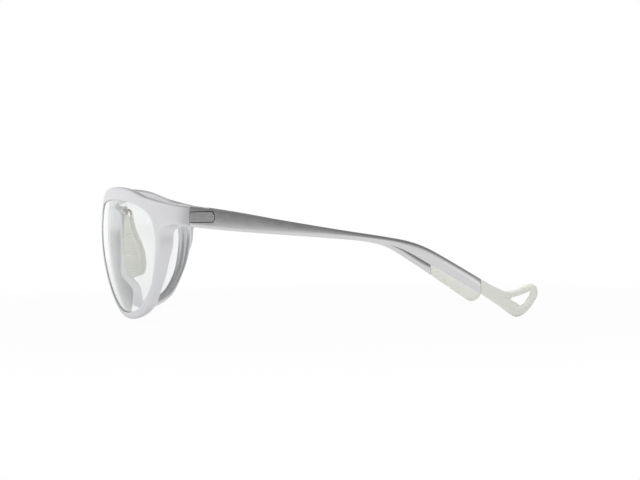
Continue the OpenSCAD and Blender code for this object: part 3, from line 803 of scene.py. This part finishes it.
# %% [markdown]
# Each nose pad is a thin silicone blade with fine level ribs that grip. The ribs are real shape, so the
# blade is skinned through many level sections whose thickness rises and falls with the ribs.

# %% Nose pads
pin = Vector((lens_x - 2.2 * MM, 0, lens_top - 4.2 * MM))
pad_h, pad_d, pad_t, rib_pitch = 28 * MM, 7 * MM, 2.2 * MM, 0.9 * MM
rib_depth, pad_lean = 0.44 * MM, math.radians(10)
arm_depth = 11.2 * MM
pad_front, pad_top = arm_depth - 1.1 * MM, -1.6 * MM
FRONT_EDGE = [(0.25, 0), (0.02, -0.07), (-0.03, -0.3), (-0.014, -0.5), (0.02, -0.7), (0.08, -0.82),
              (0.24, -0.94), (0.5, -0.992)]
REAR_EDGE = [(0.25, 0), (0.42, -0.22), (0.6, -0.35), (0.8, -0.47), (0.95, -0.6), (1, -0.72), (1, -0.84),
             (0.86, -0.95), (0.5, -0.992)]


def edge_at(line, share):
    """Depth of an edge of the pad at a share of its height, on a smooth curve through its points."""
    curve = open_curve([Vector(p) for p in line], 6)
    for a, b in zip(curve, curve[1:]):
        if a.y >= -share >= b.y and a.y > b.y:
            return a.x + (b.x - a.x) * (a.y + share) / (a.y - b.y)
    return curve[-1].x if share > 0.5 else curve[0].x


def hang(piece):
    """Leans a piece that was made at the pin, and puts it there."""
    piece.matrix_world = Matrix.Translation(pin) @ Matrix.Rotation(-pad_lean, 4, "Y")
    return settle(piece, piece.name)


def make_pad():
    rings, steps = [], 170
    for k in range(steps + 1):
        share = 0.004 + 0.984 * k / steps
        a, b = edge_at(FRONT_EDGE, share), edge_at(REAR_EDGE, share)
        ribbed = smooth((share - 0.26) / 0.05) * smooth((0.93 - share) / 0.05)
        wave = 0.5 - 0.5 * math.cos(2 * math.pi * share * pad_h / rib_pitch)
        round_end = math.sqrt(max(1 - max(abs(share - 0.5) * 2 - 0.86, 0) ** 2 / 0.14 ** 2, 0.01))
        thick = pad_t * round_end + rib_depth * ribbed * (wave - 0.5)
        ring = []
        for p in oval(thick, 1, 2.6, 24):
            depth = pad_front + pad_d * ((a + b) / 2 + p.y * max(b - a, 0.01))
            ring.append(Vector((p.x, front_y + depth, pad_top - share * pad_h)))
        rings.append(ring)
    return hang(loft("nose_pad_silicone_left", rings))


pad_left = make_pad()
soften(pad_left, 60)
pad_right = mirrored_copy(pad_left, "nose_pad_silicone_right")
report(pad_left)

# %% [markdown]
# A wire arm comes out of a small boss on the frame, bends down in a round elbow and runs inside the pad.
# A curve with a round bevel would do as well, but the rings used before need no new kind of object.

# %% Nose arms and their bosses
wire_r, elbow_r = 0.6 * MM, 1.6 * MM


def arm_route():
    start = rim_t + 0.7 * MM
    route = [Vector((0, front_y + start + (arm_depth - elbow_r - start) * k / 4, 0)) for k in range(5)]
    for k in range(1, 9):
        a = math.pi / 2 * k / 8
        route.append(Vector((0, front_y + arm_depth - elbow_r + elbow_r * math.sin(a),
                             -elbow_r + elbow_r * math.cos(a))))
    for k in range(1, 9):
        drop = 0.72 * pad_h * k / 8
        route.append(Vector((0, front_y + arm_depth + 0.1 * drop, -drop)))
    return route


def swept(name, route, radius):
    count, rings = 14, []
    for k, at in enumerate(route):
        way = (route[min(k + 1, len(route) - 1)] - route[max(k - 1, 0)]).normalized()
        side = Vector((1, 0, 0))
        other = way.cross(side).normalized()
        rings.append([at + radius * (math.cos(a) * side + math.sin(a) * other)
                      for a in (2 * math.pi * i / count for i in range(count))])
    return loft(name, rings)


arm_left = hang(swept("nose_arm_wire_left", arm_route(), wire_r))
soften(arm_left, 50)
arm_right = mirrored_copy(arm_left, "nose_arm_wire_right")

clear()
boss_r, boss_end = wire_r + 1.1 * MM, nasal_wall_y + 0.3 * MM
bpy.ops.mesh.primitive_cylinder_add(vertices=40, radius=boss_r, depth=boss_end - 2 * MM,
                                    location=(pin.x, front_y + (boss_end + 2 * MM) / 2, pin.z),
                                    rotation=(math.pi / 2, 0, 0))
boss = settle(bpy.context.object, "cutter")
modify(boss, "BEVEL", width=0.3 * MM, segments=3, limit_method="ANGLE", angle_limit=math.radians(60))
cut(front, [boss], both_sides=True, operation="UNION")
soften(front)
report(arm_left)
report(front)

# %% [markdown]
# The metal pieces of the hinge keep the shapes of the solids, because they are small, exact and partly
# hidden. Each shown piece is a copy of its solid with the doubles merged and every edge broken by a fine
# bevel, which is what catches the light on real hardware.

# %% Hardware with broken edges
def broken_edges(node, name, width):
    only(frame["nodes"][node])
    bpy.ops.object.duplicate()
    piece = bpy.context.object
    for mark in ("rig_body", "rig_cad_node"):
        del piece[mark]
    piece.parent = None
    piece.matrix_world = Matrix.Identity(4)
    piece.name = name
    piece.data.name = name
    outside(piece)
    modify(piece, "BEVEL", width=width, segments=2, limit_method="ANGLE", angle_limit=math.radians(40))
    soften(piece, 30)
    modify(piece, "WEIGHTED_NORMAL", keep_sharp=True)
    return piece


BEVELS = {"front_leaf": 0.18 * MM, "temple_leaf": 0.1 * MM, "hinge_screw": 0.07 * MM,
          "front_leaf_screw": 0.08 * MM, "temple_leaf_screws": 0.08 * MM}
hardware = {(stem, side): broken_edges(f"{stem}_{side}", f"{stem}_metal_{side}", width)
            for stem, width in BEVELS.items() for side in ("left", "right")}
print(len(hardware), "metal pieces")

# %% [markdown]
# Materials are written as sums and products. A small class wraps an output socket, and each operator
# adds the Math node that it stands for. Limits are set the same way, with most, least and clipped.

# %% Shader maths as expressions
class Wire:
    def __init__(self, tree, socket):
        self.tree, self.socket = tree, socket

    def node(self, kind, settings=None, **inputs):
        made = self.tree.nodes.new(kind)
        for name, value in (settings or {}).items():
            setattr(made, name, value)
        for name, value in inputs.items():
            slot = made.inputs[int(name[1:]) if name[1:].isdigit() else name.replace("_", " ")]
            if isinstance(value, Wire):
                self.tree.links.new(value.socket, slot)
            else:
                slot.default_value = value
        return made

    def maths(self, operation, *values):
        made = self.node("ShaderNodeMath", {"operation": operation},
                         **{f"i{k}": v for k, v in enumerate(values)})
        return Wire(self.tree, made.outputs[0])

    def __add__(self, other):
        return self.maths("ADD", self, other)

    def __sub__(self, other):
        return self.maths("SUBTRACT", self, other)

    def __rsub__(self, other):
        return self.maths("SUBTRACT", other, self)

    def __mul__(self, other):
        return self.maths("MULTIPLY", self, other)

    __radd__ = __add__
    __rmul__ = __mul__

    def most(self, other):
        return self.maths("MAXIMUM", self, other)

    def least(self, other):
        return self.maths("MINIMUM", self, other)

    def clipped(self, low=0.0, high=1.0):
        return self.most(low).least(high)

    def colour(self, low, high):
        """A colour between low, where this is 0, and high, where it is 1."""
        made = self.node("ShaderNodeMix", {"data_type": "RGBA"}, i0=self, i6=(*low, 1), i7=(*high, 1))
        return Wire(self.tree, made.outputs[2])


def ray_kinds(tree):
    """Gives, for a kind of ray, a value that is 1 for such rays and 0 for all others."""
    rays = tree.nodes.new("ShaderNodeLightPath")
    return lambda kind: Wire(tree, rays.outputs[f"Is {kind} Ray"])


def new_material(name):
    material = bpy.data.materials.new(name)
    material.use_nodes = True
    tree = material.node_tree
    shader = tree.nodes["Principled BSDF"]
    place = Wire(tree, tree.nodes.new("ShaderNodeTexCoord").outputs["Object"])
    return material, shader, place


def noise(place, scale, detail, stretch=(1, 1, 1)):
    turned = place.node("ShaderNodeMapping", i0=place, i3=stretch)
    made = place.node("ShaderNodeTexNoise", Vector=Wire(place.tree, turned.outputs[0]), Scale=scale,
                      Detail=detail)
    return Wire(place.tree, made.outputs["Fac"])


def bumped(shader, height, distance):
    made = height.node("ShaderNodeBump", Height=height, Distance=distance, Strength=1.0)
    height.tree.links.new(made.outputs[0], shader.inputs["Normal"])


def feed(wire, shader, name):
    wire.tree.links.new(wire.socket, shader.inputs[name])


# %% [markdown]
# The moulding is sprayed with a satin silver paint: tiny flakes in a clear binder, which reflect almost
# like bare metal. Fine noise stands for the flakes and broader noise for the spray. The front's coat is a
# whiter satin, and the temples have the more metallic one, which shows the room in soft bands.

# %% Silver paint
def silver_paint(name, light, dark, metallic, rough):
    material, shader, place = new_material(name)
    flakes = noise(place, 5200, 1)
    spray = noise(place, 260, 3)
    feed((flakes * 0.7 + spray * 0.3).colour(dark, light), shader, "Base Color")
    feed(rough + spray * 0.08 + flakes * 0.03, shader, "Roughness")
    shader.inputs["Metallic"].default_value = metallic
    shader.inputs["Coat Weight"].default_value = 0.08
    shader.inputs["Coat Roughness"].default_value = 0.3
    bumped(shader, flakes * 0.6 + spray * 0.4, 0.0012 * MM)
    return material


front_paint = silver_paint("front_paint", (0.81, 0.81, 0.83), (0.74, 0.74, 0.76), 0.8, 0.26)
temple_paint = silver_paint("temple_paint", (0.80, 0.80, 0.81), (0.68, 0.68, 0.69), 0.94, 0.17)

# %% [markdown]
# Silicone is soft and a little translucent, so light scatters just under its surface. It has no gloss to
# speak of, only a fine satin skin from the mould.

# %% Silicone
def silicone(name, light, dark, scatter, rough):
    material, shader, place = new_material(name)
    cloud = noise(place, 140, 3)
    grain = noise(place, 2600, 2)
    feed((cloud * 0.8 + grain * 0.2).colour(dark, light), shader, "Base Color")
    feed(rough + grain * 0.16, shader, "Roughness")
    shader.inputs["Subsurface Weight"].default_value = scatter
    shader.inputs["Subsurface Radius"].default_value = (1.0, 0.95, 0.8)
    shader.inputs["Subsurface Scale"].default_value = 0.5 * MM
    shader.inputs["IOR"].default_value = 1.41
    bumped(shader, grain, 0.003 * MM)
    return material


pad_silicone = silicone("pad_silicone", (0.86, 0.86, 0.80), (0.78, 0.78, 0.72), 0.3, 0.38)
tip_silicone = silicone("tip_silicone", (0.96, 0.96, 0.90), (0.92, 0.92, 0.86), 0.12, 0.46)

# %% [markdown]
# The lens is clear indoors. Glass would hide from the lamps what is behind it, so for shadow rays, and for
# rays that come from other surfaces, the material is plainly transparent. The camera still sees the
# refraction and the dark line of the edge.

# %% Clear lens
def clear_lens():
    material, shader, place = new_material("lens_clear")
    tree = material.node_tree
    shader.inputs["Base Color"].default_value = (0.945, 0.957, 0.95, 1)
    shader.inputs["Roughness"].default_value = 0.0
    shader.inputs["IOR"].default_value = 1.5
    shader.inputs["Transmission Weight"].default_value = 1.0
    passing = place.node("ShaderNodeBsdfTransparent", Color=(0.96, 0.97, 0.965, 1))
    ray = ray_kinds(tree)
    mirrored = ray("Glossy") * (1 - ray("Transmission"))
    unseen = ray("Shadow").most(ray("Diffuse")).most(mirrored)
    mixed = unseen.node("ShaderNodeMixShader", i0=unseen, i1=Wire(tree, shader.outputs[0]),
                        i2=Wire(tree, passing.outputs[0]))
    tree.links.new(mixed.outputs[0], tree.nodes["Material Output"].inputs["Surface"])
    return material


lens_clear = clear_lens()

# %% [markdown]
# The metal parts are brushed: long thin scratches, made by stretching a noise along the brushing.

# %% Brushed metal and nylon
def brushed(name, light, dark, rough, along_scale=(1, 0.06, 1)):
    material, shader, place = new_material(name)
    scratches = noise(place, 3000, 3, along_scale)
    smudge = noise(place, 300, 2)
    feed((scratches * 0.6 + smudge * 0.4).colour(dark, light), shader, "Base Color")
    feed(rough + scratches * 0.18, shader, "Roughness")
    shader.inputs["Metallic"].default_value = 1.0
    bumped(shader, scratches, 0.004 * MM)
    return material


hinge_steel = brushed("hinge_steel", (0.74, 0.74, 0.75), (0.60, 0.60, 0.61), 0.16)
titanium = brushed("titanium", (0.62, 0.55, 0.48), (0.46, 0.40, 0.34), 0.3, (1, 1, 0.06))


def matte_grain_material(name, scale, dark, light, rough):
    material, shader, place = new_material(name)
    grain = noise(place, scale, 2)
    feed(grain.colour(dark, light), shader, "Base Color")
    feed(rough + grain * 0.2, shader, "Roughness")
    bumped(shader, grain, 0.004 * MM)
    return material


washer_nylon = matte_grain_material("washer_nylon", 1800, (0.78, 0.78, 0.75), (0.88, 0.88, 0.86), 0.4)

# %% [markdown]
# The faces in the narrow gap round each tongue get a near-black colour: painted shade for the dark
# line of the gap. They are found by their place in the pocket.

# %% Painted shade, inside the tongues' pockets
# A near-black matte colour, painted on the pocket's faces as the shade in the gap.
gap_shade_paint = matte_grain_material("painted_gap_shade", 1500, (0.05, 0.05, 0.052), (0.09, 0.09, 0.092), 0.55)


# Gives the faces inside the pocket the painted shade.
def paint_shade_in_pocket(temple):
    temple.data.materials.append(gap_shade_paint)
    floor_x, skin_x = side_x - 2.2 * MM, side_x - 0.3 * MM
    end_y, half_z = tongue_l + 0.5 * MM, tongue_h / 2 + pocket_gap + 0.05 * MM
    shaded = 0
    for polygon in temple.data.polygons:
        x, y, z = abs(polygon.center.x), polygon.center.y - axis.y, polygon.center.z - tongue_z
        if floor_x < x < skin_x and MM < y < end_y and abs(z) < half_z:
            polygon.material_index = 1
            shaded += 1
    print(temple.name, "has", shaded, "bare faces in its pocket")


# %% [markdown]
# Each piece gets its material and its slot, takes the place of its solid, and rides on the solid's body.
# The wire cores and the washers are shown as solids, with a finish.

# %% Dress each piece and say which body it rides on
def paint(piece, material):
    piece.data.materials.clear()
    piece.data.materials.append(material)


def dress(piece, material, body, node):
    paint(piece, material)
    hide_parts(node)
    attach(piece, body)


dress(front, front_paint, "front", "front_frame")
for side, lens, temple, tip, pad, arm in (
        ("left", lens_left, temple_left, tip_left, pad_left, arm_left),
        ("right", lens_right, temple_right, tip_right, pad_right, arm_right)):
    dress(lens, lens_clear, "front", f"lens_{side}")
    dress(temple, temple_paint, f"{side}_temple", f"temple_{side}")
    paint_shade_in_pocket(temple)
    dress(tip, tip_silicone, f"{side}_temple", f"temple_tip_{side}")
    dress(pad, pad_silicone, f"{side}_nose_pad", f"nose_pad_{side}")
    dress(arm, titanium, f"{side}_nose_pad", f"nose_arm_{side}")
    paint(frame["nodes"][f"temple_core_{side}"], titanium)
    paint(frame["nodes"][f"hinge_washers_{side}"], washer_nylon)
for (stem, side), piece in hardware.items():
    body = f"{side}_temple" if stem.startswith("temple") else "front"
    dress(piece, hinge_steel, body, f"{stem}_{side}")

# %% [markdown]
# The set is a white table under two soft lamps. The camera sees the table and the room as plain white. The
# painted metal mirrors a room that is bright in front of the glasses and behind them, and dark beside and
# above them, so that the side that faces the camera falls to grey. The lamps don't show in reflections.

# %% Table, world and lamps
clear()
bpy.ops.mesh.primitive_plane_add(size=1.6, location=(0, 0, -0.15 * MM))
table = bpy.context.object
table.name = "table"
table_white, table_shader, table_place = new_material("table_white")
table_tree = table_white.node_tree
table_shader.inputs["Base Color"].default_value = (0.85, 0.85, 0.85, 1)
table_shader.inputs["Roughness"].default_value = 0.8
ray = ray_kinds(table_tree)
from_middle = table_place.node("ShaderNodeSeparateXYZ", i0=table_place)
aside = Wire(table_tree, from_middle.outputs[1])
aside = (aside.most(0 - aside) * 3 - 0.3).clipped(0.0, 0.5)
shown = ray("Camera").most(ray("Transmission")).most(ray("Glossy") * (0.52 + aside))
glow = shown.node("ShaderNodeEmission", Strength=1.0)
reach = shown.node("ShaderNodeVectorMath", {"operation": "LENGTH"}, i0=table_place)
far = (Wire(table_tree, reach.outputs[1]) * 6 - 0.9).clipped()
both = shown.node("ShaderNodeMixShader", i0=shown * (0.93 + 0.07 * far),
                  i1=Wire(table_tree, table_shader.outputs[0]), i2=Wire(table_tree, glow.outputs[0]))
table_tree.links.new(both.outputs[0], table_tree.nodes["Material Output"].inputs["Surface"])
table.data.materials.append(table_white)

world = bpy.data.worlds.new("studio")
bpy.context.scene.world = world
world.use_nodes = True
sky = world.node_tree
background = sky.nodes["Background"]
ray = ray_kinds(sky)
seen = ray("Camera").most(ray("Transmission"))
way = sky.nodes.new("ShaderNodeTexCoord")
parts = seen.node("ShaderNodeSeparateXYZ", i0=Wire(sky, way.outputs["Generated"]))
towards_x, towards_y, towards_z = (Wire(sky, parts.outputs[k]) for k in range(3))
before, behind, overhead = (0 - towards_y).most(0.0), towards_y.most(0.0), towards_z.most(0.0)
away = (towards_x * -2.2).clipped()
top = (overhead * 1.8 - 0.2).clipped() * (1 - before)
beside_level, front_level, ceiling_level = 0.15, 0.9, 0.2
level = (beside_level + 3.8 * before * before).least(front_level)
level = level + behind * behind * (6.6 - 6.5 * behind)
level = (level * (1 - away) + away) * (1 - top) + ceiling_level * top
strength = seen + (1 - seen) * level
sky.links.new(strength.socket, background.inputs["Strength"])
background.inputs["Color"].default_value = (1, 1, 1, 1)


def lamp(name, place, aim, size, watts):
    light = bpy.data.lights.new(name, "AREA")
    light.shape = "RECTANGLE"
    light.size, light.size_y = size
    light.energy = watts
    made = bpy.data.objects.new(name, light)
    bpy.context.scene.collection.objects.link(made)
    made.location = place
    made.rotation_euler = (Vector(aim) - Vector(place)).to_track_quat("-Z", "Y").to_euler()
    made.visible_glossy = False


lamp("softbox_front", (0.35, -1.1, 0.3), (0, 0, 0.03), (1.3, 1.0), 1.2)
lamp("softbox_above", (0.15, 0.1, 1.1), (0, 0, 0.02), (0.9, 0.9), 7)
bpy.context.scene.view_settings.view_transform = "Standard"
